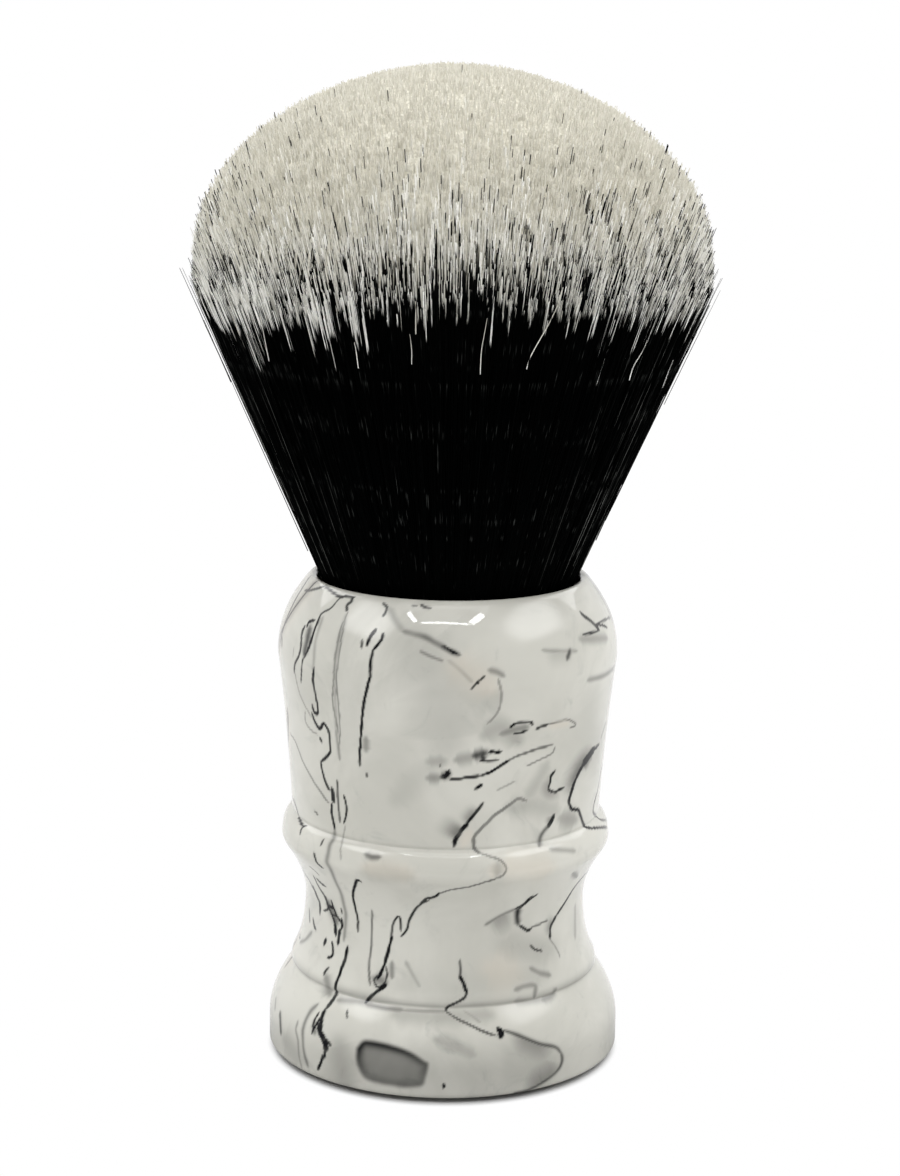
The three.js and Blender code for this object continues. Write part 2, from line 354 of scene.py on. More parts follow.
def handle_outside():
    """Outline from the foot's edge up the outside and over the lip into the socket."""
    bead_low = (BEAD_RADIUS + BEAD_TAPER, BEAD_Z + CREASE[1])
    bead_high = (BEAD_RADIUS - BEAD_TAPER, LOWER_WAIST_Z)
    waist = (WAIST_RADIUS, WAIST_Z)
    ledge_low = (LEDGE_RADIUS - LEDGE_UNDERCUT, LEDGE_Z)
    ledge_high = (LEDGE_RADIUS - LEDGE_SETBACK, LEDGE_TOP)
    groove = (GROOVE_RADIUS, BARREL_Z + CREASE[1])
    shoulder = (BARREL_RADIUS, SHOULDER_Z)
    lip_outer = (SOCKET_RADIUS + LIP_WIDTH, MOUTH_Z)
    lip_top = (SOCKET_RADIUS + LIP_WIDTH / 2, HANDLE_TOP)
    rise = MOUTH_Z - SHOULDER_Z
    shoulder_bend = (
        BARREL_RADIUS + SHOULDER_BEND[0] * (lip_outer[0] - BARREL_RADIUS),
        SHOULDER_Z + SHOULDER_BEND[1] * rise,
    )
    pieces = [
        bezier((FOOT_RADIUS - FOOT_EDGE, 0), (FOOT_RADIUS, 0), (FOOT_RADIUS, FOOT_EDGE)),
        bezier(
            (FOOT_RADIUS, WALL_TOP - 1.2), (FOOT_RADIUS, WALL_TOP + 0.9),
            (BEAD_RADIUS + 1.9, WALL_TOP + 3.2), np.array(bead_low) - CREASE,
        ),
        bend(bead_low, bead_high, 0.2, 0.65),
        bend(bead_high, waist, 0.97, 0.36),
        bend(waist, ledge_low, 0.02, 0.45),
        bezier(ledge_low, (LEDGE_RADIUS + LEDGE_CROWN, (LEDGE_Z + LEDGE_TOP) / 2), ledge_high),
        bend(ledge_high, np.array(groove) - CREASE, 0.05, 0.72),
        bend(groove, shoulder, 0.33, 0.53),
        bezier(shoulder, (BARREL_RADIUS, SHOULDER_Z + SHOULDER_RISE * rise), shoulder_bend, lip_outer),
        bezier(lip_outer, (SOCKET_RADIUS + LIP_WIDTH * 2 / 3, HANDLE_TOP), lip_top),
        bezier(lip_top, (SOCKET_RADIUS, HANDLE_TOP), (SOCKET_RADIUS, MOUTH_Z - LIP_ROUNDING)),
    ]
    return even(np.concatenate(pieces), OUTLINE_STEP)


def handle_outline():
    """(whole outline, slice of it that is the outside)."""
    ring_inner = FOOT_RADIUS - FOOT_EDGE - FOOT_RING
    under = np.array([
        (0, DISH_DEPTH), (ring_inner / 2, DISH_DEPTH), (ring_inner - DISH_SLOPE, DISH_DEPTH),
        (ring_inner - DISH_SLOPE / 2, DISH_DEPTH / 2), (ring_inner, 0), (ring_inner + 0.2, 0),
    ])
    floor = MOUTH_Z - SOCKET_DEPTH
    socket = np.array([
        (SOCKET_RADIUS, floor + 0.2), (SOCKET_RADIUS, floor), (SOCKET_RADIUS - 0.2, floor),
        (DIMPLE[0], floor), (0, floor - DIMPLE[1]),
    ])
    outside = handle_outside()
    whole = np.concatenate([under, outside, socket])
    return whole, slice(len(under), len(under) + len(outside))


RAY_SPAN, RAY_STEPS = (255, 345), 1800     # from the camera, past the whole brush


def meet(pixels, outline):
    """(angle in turns, height) where rays through pixels of the photograph meet a turned outline
    that climbs steadily."""
    rays = rays_through(pixels)
    t = np.linspace(*RAY_SPAN, RAY_STEPS)
    places = CAMERA_PLACE + t[None, :, None] * rays[:, None, :]
    wall = np.interp(places[..., 2], outline[:, 1], outline[:, 0], left=0, right=0)
    inside = np.hypot(places[..., 0], places[..., 1]) < wall
    hit = inside.any(1)
    spots = places[hit, np.argmax(inside, 1)[hit]]
    return np.stack([np.arctan2(spots[:, 0], -spots[:, 1]) / (2 * math.pi), spots[:, 2]], -1)


# ---- Handle: marbling -------------------------------------------------------
# One mark a line: kind, width in millimetres, screen tone, then the pixels of the photograph that it
# runs through. Ink is a vein with hard edges, smoke is soft all round, and warm is a beige tint whose
# third value is its strength. A vein may have a veil: the side it fades to (left, right, above or
# below), how far, and its tone at the vein.

RIM_AND_LEFT = """
ink .30 110: 305,590 312,590 322,587 326,585
ink .30 80: 325,586 333,592 340,597 347,596 355,597
ink .22 105: 340,598 331,608 324,612 321,614
smoke .50 160: 323,617 318,632 315,645 314,660 313,672
ink .32 25: 321,614 316,626 312,638 308,650 304,658
ink .32 30: 315,620 309,622 307,627
smoke 1.1 85: 310,627 307,642 304,655
ink .30 40: 305,626 302,634 301,645 299,656 295,664 294,672
ink .22 85: 303,658 302,666 301,682
smoke .60 100: 282,636 282,647
ink .32 25: 314,668 313,680 315,692 317,702 318,711 317,714 314,711 312,704
ink .32 25: 312,713 314,720 318,727 321,728 323,724 326,726 329,733 330,745 330,752 326,757 321,762
ink .32 30: 321,762 322,769 324,777 327,785 329,790
ink .35 60: 320,737 322,743
ink .18 155: 294,647 293,657
ink .20 155: 295,672 297,684 301,697 306,707 311,717
ink .20 155: 305,711 306,722 311,730 318,735
ink .24 145: 290,733 296,743 303,762 309,773 316,785 323,795 329,803
ink .28 60: 291,793 295,803 298,813 301,822 303,826 307,826
ink .24 65: 303,827 301,830 300,835
ink .25 135: 314,810 318,815
ink .22 90: 323.5,839 321,845
"""

DOUBLE_BAND = """
ink .32 85: 353,597 351,602 347,605 347,611
ink .20 140: 343,622 338,640 335,660 333,690 333,703 339,735
ink .20 140: 348,612 343,630 340,650 337,670 337,690 339,710 340,730 339,750
smoke .70 158: 346,615 340,640 336,665 335,690 336,715 338,750
smoke .45 140: 336,730 340,760
ink .28 120: 337,780 338,800 340,822
ink .50 20: 331.5,788 333,794 333.5,802
ink .30 50: 332,803 332,815 334,824 335,829
smoke .60 135: 335,829 334,838 330,845 328,855 327,862 331,870 336,882 341,893 344,905 346,917 344,940
ink .24 60: 344,795 346,802 347,810 346,817 344,823
ink .18 160: 345,825 343,838 341,848 341,860
"""

FORKED_HOOK = """
ink .34 25: 376.5,629 370,637 367,646
ink .28 60: 383,633 382,639 378,644 373,650
ink .32 40: 373,650 371,660 370,675 368,685 365,697 363,708 362,720
ink .26 80: 362,720 361,735 360,752 360,766
ink .30 120: 362,640 362,648
smoke 1.0 140: 366,738 366,750
ink .35 110: 367,774 367,777
ink .25 100: 383,603 387,607 385,613 383,616
"""

SHOULDER_EDGE = """
ink .28 110: 421,605 425,607 431,608
ink .20 130: 412,606 417,606
smoke .9 160: 390,609 396,621 404,632
smoke .8 120 below 1.5 168: 403,631 414,634 425,637 436,643 446,648
smoke .7 95: 440,646 448,650 460,655
ink .28 42: 442,646 450,650 458,654
smoke .45 122: 420,651 430,656 443,661
smoke .7 160: 448,660 460,670 472,682
warm 3.5 1: 455,666 475,678 492,690
ink .20 105: 485,676 477,683 471,690
ink .36 32: 479,681 476,684
smoke .7 135: 489,670 497,672 504,676
ink .24 150 left 4.5 177: 498,678 501,692 500,706 494,717 487,724
smoke 9.0 172: 415,650 440,690 445,740
smoke 7.0 184: 345,660 350,740
smoke 8.0 180: 592,700 596,760
smoke 4.5 176: 450,690 472,702 488,704
smoke 1.8 172: 547,764 538,780 528,796
"""

MIDDLE_SMUDGES = """
smoke 1.2 135: 500,734 514,730 527,727
ink .28 75: 510,728 516,724 530,722 533,725
ink .25 85: 514,734 520,733 527,730
smoke 2.4 165: 485,735 500,728 518,740
ink .30 85: 536,729 543,726 548,724
ink .18 130: 548,724 560,721 568,719 573,722 576,725 570,728
warm .80 1: 550,726 568,723
smoke 1.6 150: 456,760 472,757
smoke 1.5 60: 474,756 485,753
smoke .90 40: 480,752 484,760
ink .28 35: 480,760 488,761 498,760
ink .40 85: 489,752 501,752
smoke 1.8 158: 429,762 443,761
ink .30 100: 440,765 440,767
smoke 3.2 180: 436,766 415,782 396,800
ink .55 28: 449,771 446,775 442,777
smoke 1.0 65: 449,774 441,777
smoke 1.3 140: 440,778 428,778
ink .32 20: 450,779 458,779 466,778 472,777 480,776
ink .28 70: 480,776 488,773 496,769 503,764 509,760
ink .24 128: 507,761 515,757 523,754 537,749 545,747 553,744
ink .20 140: 527,766 533,763 543,758 552,753 555,747
ink .34 45: 475,789 479,787 482,785
ink .18 160: 497,790 505,786 515,781
"""

LOWER_BARREL = """
ink .30 60: 483,803 477,811 470,820
ink .30 40 left 1.0 135: 481,806 475,813 469,821 464,828
ink .44 12 left 1.8 118: 467,824 460,832 456,838 454,844
ink .36 30: 457,837 454,846
ink .30 138: 527,801 519,799 506,807 495,815 487,823 480,830 474,837 473,844
ink .34 132: 474,838 474,848 480,853
warm 1.3 1: 470,832 463,845
smoke 2.4 172: 508,808 535,806 557,812
ink .22 145: 480,853 492,857 501,861 506,868 503,875 495,879
ink .20 118: 495,879 472,886 450,890 440,893
ink .28 60: 440,893 433,897 426,899 420,904
warm 1.4 1: 495,866 494,876
smoke 1.3 165: 498,864 497,874
smoke .7 118: 366,854 372,857 380,857
warm 2.2 1: 366,868 388,870 408,874
smoke 2.0 178: 364,872 386,874 410,876
ink .46 20 left .9 125: 554,815 551,821 547,827
smoke .60 100: 548,826 543,832 540,838 539,846
ink .30 70 left 1.2 150: 555,771 551,776 550,782 548,788 550,791 555,792 560,789 564,788
ink .80 36: 594,749 588,757 583,764
smoke 1.6 95: 592,752 583,765
ink .44 14 left 1.8 108: 599,744 591,753 583,765 577,776 572,789 569,800 569,805
ink .38 40: 569,804 572,809 578,810 580,815 582,821 585,827 592,828
ink .28 75: 592,828 610,827
smoke 2.2 152: 560,818 575,820
ink .28 105: 604,760 601,770 599,782 597,792 593,810 596,816 601,820 610,820
smoke .60 155: 550,849 563,850 575,851
"""

UPPER_RIGHT = """
ink .40 22: 580,612 584,616 592,622 599,630
ink .26 60: 594,624 601,625 607,627
ink .22 105: 597,624 604,620 611,617
ink .26 60: 583,635 590,633 598,631
smoke 1.2 155: 580,639 592,639 607,638
smoke .5 155 below 1.6 174: 542,650 552,651 565,651 577,651
smoke .75 85: 570,650 567,659
smoke .7 140: 617,665 608,673 600,677 588,680
smoke .70 155: 606,722 601,738
"""

WAIST_LEFT = """
ink .30 35: 314,853 316,860 319,865 323,868
ink .22 135: 309,866 314,870 319,875
ink .28 80: 303,871 309,880 313,888
ink .34 25: 313,886 317,896 320,904 320,914
ink .28 22: 313,875 319,887 326,899 328,909 324,911
ink .28 80: 316,878 321,883 326,887
ink .30 26: 326,897 328,905 331,913 334,920 336,928 336,936
ink .27 34: 331,900 334,909 338,917 342,924 341,931
ink .28 45: 328,906 333,908 336,913
ink .28 50: 331,914 337,916 340,921
ink .30 50: 335,924 335,934
ink .45 22: 340,930 339,938 338,945
ink .22 80: 342,918 343,927
ink .22 80: 341,908 342,913
smoke 1.1 105: 327,900 332,911 337,923
ink .30 110: 309,909 310,922
ink .28 75: 313,918 314,924 316,930
smoke .65 140: 312,932 305,940 300,942
ink .25 85: 300,934 300,939
ink .45 28: 326,939 324,945
ink .30 60: 332,941 333,948 333,954 331,957 328,957
ink .28 100: 329,967 325,972 324,975
smoke 1.4 138: 326,976 330,994
ink .38 25: 348,947 346,957 343,965 340,973 337,981 335.5,988 337,993 333,1000 328,1006 325,1010
ink .28 55: 361,882 357,880 354,888 353,896 355,906 357,915 358,925 358,932
ink .24 135: 372,910 372,930 371,950 369,965 369,975 371,985
"""

WAIST_LOBES = """
ink .22 95: 429,900 417,907 410,919 407,929 401,937
ink .22 105: 401,931 399,916 393,924 391,937
ink .34 60: 392,936 389,949 385,962 381,973 378,979
ink .20 105: 378,975 374,981 378,987 384,984 387,976 386,968
ink .34 40: 387,984 384,987 375,993 365,1003
smoke 1.2 130: 374,978 386,982
smoke .60 135: 392,962 392,978
smoke .5 162: 406,962 413,975 420,987
"""

# Two of its smokes, on the crease at the top of the foot towards the sides, are painted shade.
WAIST_RIGHT = """
ink .24 110: 460,960 460,969 460,977
ink .38 30: 460,976 464,985 467,993
ink .28 60: 467,992 463,999 455,1003 445,1009
smoke .45 125 below 2.2 152: 485,925 500,916 515,909
ink .22 90: 515,909 524,903 532,896
ink .22 90: 519,909 526,903 537,894
smoke 1.0 64: 518,909 517,917 518,924
ink .30 65: 519,925 527,930 531,928
ink .20 125: 531,928 537,925 548,920
ink .30 42: 588,871 576,885 565,902 556,916
ink .34 58 left .9 142: 556,916 551,925 550,932 550,938
ink .18 150: 549,938 556,948 560,957
smoke .8 162: 575,905 575,938
smoke .8 120: 573,873 577,877
ink .22 100: 530,945 535,950 542,951
smoke .75 142: 530,968 540,973 550,975
smoke .70 140: 515,990 525,986 535,986 534,998
smoke .90 132: 542,1000 550,996 556,989
warm 4.0 .9: 490,968 515,975
smoke 4.0 176: 505,945 550,950
smoke .8 145: 338,1000 355,1001 372,1003
smoke 1.0 152: 515,1001 535,1000 552,998
smoke 4.0 182: 400,985 460,990 540,975
warm 3.0 .9: 505,866 550,868
"""

# Three of its smokes are painted shade: two along the crease at the top of the foot, at the front, and
# one on the foot's shoulder just under it.
FOOT_MARKS = """
ink .42 24: 325,1010 322,1018 321,1028 320,1033
ink .56 16: 319,1025 320,1032 323,1038 325,1043
ink .64 18: 324,1040 326,1046 325,1051
ink .36 30: 325,1050 324,1058
ink .38 30: 323,1037 328,1042 331,1045
ink .34 60: 323,1055 321,1062 318,1069
ink .30 60: 313,1031 316,1025 320,1018
ink .25 75: 319,1012 315,1020 313,1027 312,1034
smoke .55 125: 318,1004 311,1011 306,1020 303,1030 303,1040 304,1052 308,1066
smoke .45 142: 298,1021 296,1030 298,1040 299,1055 302,1068
smoke .60 85: 280,1012 281,1034
smoke .45 145: 276,997 275,1010
smoke .60 122: 366,1004 385,1008 403,1010
smoke .50 142: 403,1010 425,1011 446,1011
ink .20 110: 347,1010 347,1018
ink .24 115: 445,1011 458,1019 470,1025 483,1031 496,1036
smoke .45 160: 464,1011 472,1016 480,1022
ink .55 20: 498,1028 501,1033 500,1037
smoke .50 80 below 2.2 140: 503,1030 512,1033 522,1037 540,1044 555,1047 561,1053
smoke .50 90 left 2.6 142: 561,1053 562,1060 559,1068 550,1077 530,1089 510,1094
ink .38 64: 443.5,1084 443.5,1088
smoke .8 125: 314,1022 315,1033
smoke 1.6 164: 436,1040 455,1047 474,1055
smoke 6.0 182: 400,1060 470,1070 520,1060
smoke 3.0 172: 285,1040 300,1060
smoke 3.6 168: 339,1045 345,1085
smoke 2.0 170: 395,1014 440,1017 490,1015
"""

MARKS = [
    RIM_AND_LEFT, DOUBLE_BAND, FORKED_HOOK, SHOULDER_EDGE, MIDDLE_SMUDGES, LOWER_BARREL,
    UPPER_RIGHT, WAIST_LEFT, WAIST_LOBES, WAIST_RIGHT, FOOT_MARKS,
]

# Filled patches of the foot: tone inside, tone at the upper edge, softness in pixels, and the outline
PATCHES = """
124 34 3: 356,1048 362,1041 370,1040 390,1044 410,1051 424,1060 429,1064 426,1078 422,1086 405,1088 \
392,1086 380,1084 364,1078 356,1062
178 176 14: 500,1040 520,1042 548,1050 558,1056 556,1066 546,1077 528,1086 506,1090 496,1078 496,1056
"""

SIDES = {"left": (-1, 0), "right": (1, 0), "above": (0, 1), "below": (0, -1)}
BARE_TONE = 195
INK_TONE = 22
INK_SOFTNESS = 0.07
BACK_SOFTNESS = 0.17  # at the back, where the mesh keeps fewer columns
INK_SWELL = 1.28      # the grid softens lines, so they are drawn this much wider than the widths above
INK_FORCE = 1.2       # and this much darker
SWELLS = 60           # places round a ring of smoke where it may be thicker
WIDTH_WAVER, TONE_WAVER, PATH_WAVER = 0.09, 0.05, 0.03     # how uneven a line is
# The first ring is painted shade in the crease where the foot's shoulder meets the bead; the second
# darkens a broad band round the barrel.
RINGS = [(BEAD_Z + 0.3, 0.50, 170), (42, 10, 188)]     # smoke all the way round: height, width, tone


def darkness(tone):
    """How much ink a screen tone needs where bare resin shows as BARE_TONE."""
    bare, ink, wanted = (srgb(t, t, t)[0] for t in (BARE_TONE, INK_TONE, tone))
    return (bare - wanted) / (bare - ink)


def pixels_in(text):
    return np.array([[float(v) for v in pair.split(",")] for pair in text.split()])


def rounded(points, spacing):
    """A smooth line through the points, with points at one spacing."""
    if len(points) > 2:
        before = np.concatenate([[2 * points[0] - points[1]], points[:-1]])
        after = np.concatenate([points[1:], [2 * points[-1] - points[-2]]])
        slope = (after - before) / 2
        t = np.linspace(0, 1, 12, endpoint=False)[:, None]
        parts = [
            (2 * t**3 - 3 * t**2 + 1) * a + (t**3 - 2 * t**2 + t) * slope_a
            + (3 * t**2 - 2 * t**3) * b + (t**3 - t**2) * slope_b
            for a, b, slope_a, slope_b in zip(points, points[1:], slope, slope[1:])
        ]
        points = np.concatenate([*parts, points[-1:]])
    return even(points, spacing)


def waver(random, count, reach):
    """Smooth random numbers about 0, one for each of count points."""
    knots = max(2, count // reach + 2)
    return np.interp(np.linspace(0, knots - 1, count), np.arange(knots), random.normal(size=knots))


def nearest(spots, path):
    """Distance from each spot to a path, its share along the path, and on which side it lies:
    1 to the left of the direction of travel, -1 to the right."""
    start, step = path[:-1], np.diff(path, axis=0)
    away = spots[:, None] - start
    t = np.clip((away * step).sum(-1) / np.maximum((step**2).sum(-1), 1e-9), 0, 1)
    apart = np.linalg.norm(away - t[..., None] * step, axis=-1)
    near = apart.argmin(1)
    every = np.arange(len(spots))
    side = step[near, 0] * away[every, near, 1] - step[near, 1] * away[every, near, 0]
    return apart[every, near], (near + t[every, near]) / len(step), np.where(side > 0, 1, -1)


class Marbling:
    """Ink and warm tint painted on the grid of the handle's outside, 0 to 1."""

    def __init__(self, outline):
        self.outline = outline
        self.climb = outline[: np.argmax(outline[:, 1])]
        self.step = np.linalg.norm(np.diff(outline, axis=0), axis=1).mean()
        self.ink = np.zeros((len(outline), GRID_COLUMNS))
        self.warm = np.zeros_like(self.ink)
        self.random = np.random.default_rng(11)
        self.softness = INK_SOFTNESS

    def on_grid(self, spots):
        """(column, row) of places given by angle in turns and height."""
        rows = np.interp(spots[:, 1], self.climb[:, 1], np.arange(len(self.climb)))
        return np.stack([spots[:, 0] * GRID_COLUMNS, rows], -1)

    def stroke(self, kind, width, strength, line, veil=None):
        """Paints one line of grid places. veil is (side, reach, strength)."""
        if len(line) < 2:
            return
        middle = int(np.clip(line[:, 1].mean(), 0, len(self.outline) - 1))
        scale = np.array([2 * math.pi * self.outline[middle, 0] / GRID_COLUMNS, self.step])
        path = line * scale
        count = len(path)
        share = np.linspace(0, 1, count)
        taper = np.minimum(1, np.minimum(share, 1 - share) * 7 + 0.6)
        widths = width * taper * (1 + WIDTH_WAVER * waver(self.random, count, 6))
        strengths = strength * np.minimum(1, taper + 0.3)
        strengths = strengths * (1 + TONE_WAVER * waver(self.random, count, 9))
        if kind == "ink":
            widths = widths * INK_SWELL
            shake = [waver(self.random, count, 4) for _ in range(2)]
            path = path + PATH_WAVER * np.stack(shake, -1)

        reach = max(width * INK_SWELL + 0.2, 2.2 * veil[1] if veil else 0)
        low = np.floor((path.min(0) - reach) / scale).astype(int)
        high = np.ceil((path.max(0) + reach) / scale).astype(int)
        columns = np.arange(low[0], high[0] + 1)
        rows = np.arange(max(0, low[1]), min(len(self.outline), high[1] + 1))
        if not len(rows):
            return
        spots = np.stack(np.meshgrid(columns, rows), -1).reshape(-1, 2) * scale
        apart, at, side = nearest(spots, path)
        wide = np.interp(at, share, widths)
        value = np.interp(at, share, strengths)
        if kind == "ink":
            value = value * (1 - smoothstep(wide / 2 - self.softness, wide / 2 + self.softness, apart))
        else:
            value = value * np.exp(-((apart / (wide * 0.55)) ** 2))
        if veil:
            towards = SIDES[veil[0]]
            chord = path[-1] - path[0]
            facing = 1 if towards[1] * chord[0] - towards[0] * chord[1] > 0 else -1
            off = apart * side * facing
            fade = smoothstep(0, 0.4, at) * smoothstep(0, 0.4, 1 - at)
            cover = np.where(off > 0, np.exp(-((off / veil[1]) ** 2)), 1 - smoothstep(0, 0.15, -off))
            value = np.maximum(value, veil[2] * cover * fade)
        layer = self.warm if kind == "warm" else self.ink
        window = np.ix_(rows, columns % GRID_COLUMNS)
        layer[window] = np.maximum(layer[window], value.reshape(len(rows), len(columns)))

    def marks(self, text):
        """Paints a list of marks of the front."""
        for mark in text.strip().splitlines():
            head, run = mark.split(":")
            kind, width, tone, *veil = head.split()
            strength = 0.7 * float(tone) if kind == "warm" else darkness(float(tone))
            if kind == "ink":
                strength = min(1, strength * INK_FORCE)
            if veil:
                veil = (veil[0], float(veil[1]), darkness(float(veil[2])))
            line = self.on_grid(meet(rounded(pixels_in(run), 1.5), self.climb))
            self.stroke(kind, float(width), strength, line, veil)

    def patch(self, inside_tone, edge_tone, softness, ring):
        """Fills a ring drawn in the photograph, darker along its edge, most of all at the top."""
        ring = rounded(np.concatenate([ring, ring[:1]]), 2)
        angle = np.arange(GRID_COLUMNS) / GRID_COLUMNS * 2 * math.pi
        places = around(angle, self.outline[:, 0, None], self.outline[:, 1, None])
        pixels = to_pixels(places)
        margin = 12
        near = (pixels > ring.min(0) - margin) & (pixels < ring.max(0) + margin)
        near = (places[..., 1] < 0) & near.all(-1)
        p = pixels[near]
        a, along = ring[:-1], np.diff(ring, axis=0)
        crosses = (a[:, 1] > p[:, None, 1]) != (ring[1:, 1] > p[:, None, 1])
        climb = np.where(along[:, 1] == 0, 1, along[:, 1])
        at = a[:, 0] + (p[:, None, 1] - a[:, 1]) / climb * along[:, 0]
        inside = (crosses & (p[:, None, 0] < at)).sum(1) % 2 == 1
        apart = nearest(p, ring)[0]
        signed = np.where(inside, apart, -apart)
        middle, edge = darkness(inside_tone), darkness(edge_tone)
        low, high = ring[:, 1].max(), ring[:, 1].min()
        rise = np.clip((low - p[:, 1]) / (low - high), 0.25, 0.8) / 0.8
        border = (edge - middle) * rise * np.exp(-(((signed - softness) / 5) ** 2))
        value = smoothstep(-softness, softness, signed) * (middle + border)
        self.ink[near] = np.maximum(self.ink[near], value)

    def ring(self, height, width, tone):
        """Soft darkening all the way round at one height, thicker and thinner by turns; in the crease at
        the top of the foot this is painted shade.
        """
        turns = np.linspace(0, 1, 181)
        around = self.on_grid(np.stack([turns, np.full(181, height)], -1))
        away = (np.arange(len(self.outline)) - around[0, 1]) * self.step
        swell = waver(self.random, SWELLS, 2)
        places = np.arange(GRID_COLUMNS) / GRID_COLUMNS * SWELLS
        swell = np.interp(places, np.arange(SWELLS + 1), np.append(swell, swell[0]))
        thick = darkness(tone) * np.clip(0.8 + 0.18 * swell, 0.3, 1)
        self.ink = np.maximum(self.ink, thick * np.exp(-((away / width) ** 2))[:, None])


GIRTH_RADIUS = 19     # of the handle, on the whole


def wandering(random, start, heading, length, curl):
    """A vein that wanders over the handle: (turns, height) points from a start, in millimetres
    along the surface, with a heading in degrees from upright."""
    step = 2.0
    girth = 2 * math.pi * GIRTH_RADIUS
    points = [start]
    turn = 0.0
    direction = math.radians(heading)
    for _ in range(max(2, int(length / step))):
        turn = 0.6 * turn + random.normal() * curl
        direction += turn
        place, height = points[-1]
        place += math.sin(direction) * step / girth
        height = float(np.clip(height + math.cos(direction) * step, 0.2, HANDLE_TOP - 0.2))
        points.append((place, height))
    return np.array(points)


# The sides and the back: (middle angle, spread, number of veins, heading, spread of heading, curl)
FIELDS = [
    (-118, 16, 15, 4, 14, 0.16),     # an upright bundle like the one at the left of the front
    (152, 13, 13, -6, 16, 0.16),
    (-82, 14, 8, 12, 20, 0.20),
    (100, 26, 12, 38, 26, 0.24),     # slanting veins with hooks
    (-160, 24, 11, -40, 28, 0.26),
    (180, 60, 10, 70, 40, 0.30),
    (84, 10, 5, 8, 18, 0.22),
]
FRONT_EDGE = 74     # degrees: the marks of the front reach this far round
VEIN_LENGTH, VEIN_WIDTH, VEIN_TONE = (5, 22), (0.26, 0.5), (25, 135)
VEIL_ODDS, VEIL_REACH, VEIL_TONE = 0.4, (0.9, 2.6), (110, 150)
SMOKE_ODDS, SMOKE_WIDTH, SMOKE_TONE = 0.5, (0.8, 2.4), (115, 165)
WARM_ODDS, WARM_WIDTH, WARM_STRENGTH = 0.25, (1.5, 4.0), (0.5, 1)


def paint_hidden_sides(marbling):
    random = np.random.default_rng(29)
    marbling.softness = BACK_SOFTNESS
    for middle, spread, count, heading, heading_spread, curl in FIELDS:
        for _ in range(count):
            angle, height = random.normal(middle, spread), random.uniform(2, HANDLE_TOP - 4)
            if abs((angle + 180) % 360 - 180) < FRONT_EDGE:
                continue
            aim = random.normal(heading, heading_spread)
            length = random.uniform(*VEIN_LENGTH)
            route = wandering(random, (angle / 360, height), aim, length, curl)
            line = rounded(marbling.on_grid(route), 1.5)
            tone = random.uniform(*VEIN_TONE)
            veil = None
            if random.random() < VEIL_ODDS:
                side, reach = random.choice(list(SIDES)), random.uniform(*VEIL_REACH)
                veil = (side, reach, darkness(random.uniform(*VEIL_TONE)))
            marbling.stroke("ink", random.uniform(*VEIN_WIDTH), darkness(tone), line, veil)
            if random.random() < SMOKE_ODDS:
                aside = line + np.array([random.normal(0, 3.0), random.normal(0, 2.0)])
                width, tone = random.uniform(*SMOKE_WIDTH), random.uniform(*SMOKE_TONE)
                marbling.stroke("smoke", width, darkness(tone), aside)
            if random.random() < WARM_ODDS:
                width, strength = random.uniform(*WARM_WIDTH), random.uniform(*WARM_STRENGTH)
                marbling.stroke("warm", width, strength, line[::3])


def marble(outline):
    marbling = Marbling(outline)
    for text in MARKS:
        marbling.marks(text)
    for patch in PATCHES.strip().splitlines():
        tones, ring = patch.split(":")
        marbling.patch(*map(float, tones.split()), pixels_in(ring))
    for ring in RINGS:
        marbling.ring(*ring)
    paint_hidden_sides(marbling)
    return {"ink": marbling.ink, "warm": marbling.warm}


# ---- Handle: material and mesh ----------------------------------------------

RESIN_LIGHT = srgb(200, 199, 191)
RESIN_SHADE = srgb(186, 185, 177)
RESIN_WARM = srgb(198, 192, 180)
RESIN_GREY = srgb(120, 122, 121)
RESIN_BLACK = srgb(14, 15, 17)


def resin_material():
    n = Nodes("marbled_resin")
    place = n.add("TexCoord").outputs["Object"]
    clouds = n.ramp(n.noise(place, 60, 4, 0.55, 0.8), 0.36, 0.66)
    colour = n.mix(clouds, RESIN_LIGHT, RESIN_SHADE)
    wisps = n.ramp(n.noise(place, 150, 4, 0.6, 1.8), 0.55, 0.80, 0.0, 0.24)
    colour = n.mix(wisps, colour, RESIN_GREY)
    colour = n.mix(n.attribute("warm"), colour, RESIN_WARM)
    grain = n.ramp(n.noise(place, 420, 3, 0.6), 0.3, 0.7, 0.985, 1.0)
    colour = n.mix(n.math("MULTIPLY", n.attribute("ink"), grain), colour, RESIN_BLACK)
    roughness = n.ramp(n.noise(place, 400, 2), 0.3, 0.7, 0.03, 0.06)
    n.bump(n.noise(place, 160, 2), 0.03, 0.0004)
    n.set(Base_Color=colour, Roughness=roughness, IOR=1.5, Specular_IOR_Level=0.42)
    return n.material


def build_handle():
    outline, outside = handle_outline()
    share = np.arange(GRID_COLUMNS) / GRID_COLUMNS
    kept = (np.minimum(share, 1 - share) < FINE_SHARE) | (np.arange(GRID_COLUMNS) % 2 == 0)
    values = {}
    for name, layer in marble(outline[outside]).items():
        values[name] = np.zeros((len(outline), kept.sum()))
        values[name][outside] = layer[:, kept]
    handle = revolve("resin_handle", outline, share[kept], values)
    dress(handle, resin_material())
    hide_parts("handle")


# ---- Knot: flow lines -------------------------------------------------------
# Every fibre lies along a straight line through the fan's apex. share is how far out it lies, 0 on the
# axis and 1 at the outside.

ROOT_RADIUS = PLUG_RADIUS - 1.9
BULB_RADIUS = 29.5
DOME_BASE = CROWN_Z - 22.6
DOME_POWER = 1.9      # 2 would be a half ellipse, less is more pointed
FLARE_END = DOME_BASE - 2.8
FLARE = (BULB_RADIUS - ROOT_RADIUS) / (FLARE_END - PLUG_TOP)
APEX_Z = PLUG_TOP - ROOT_RADIUS / FLARE


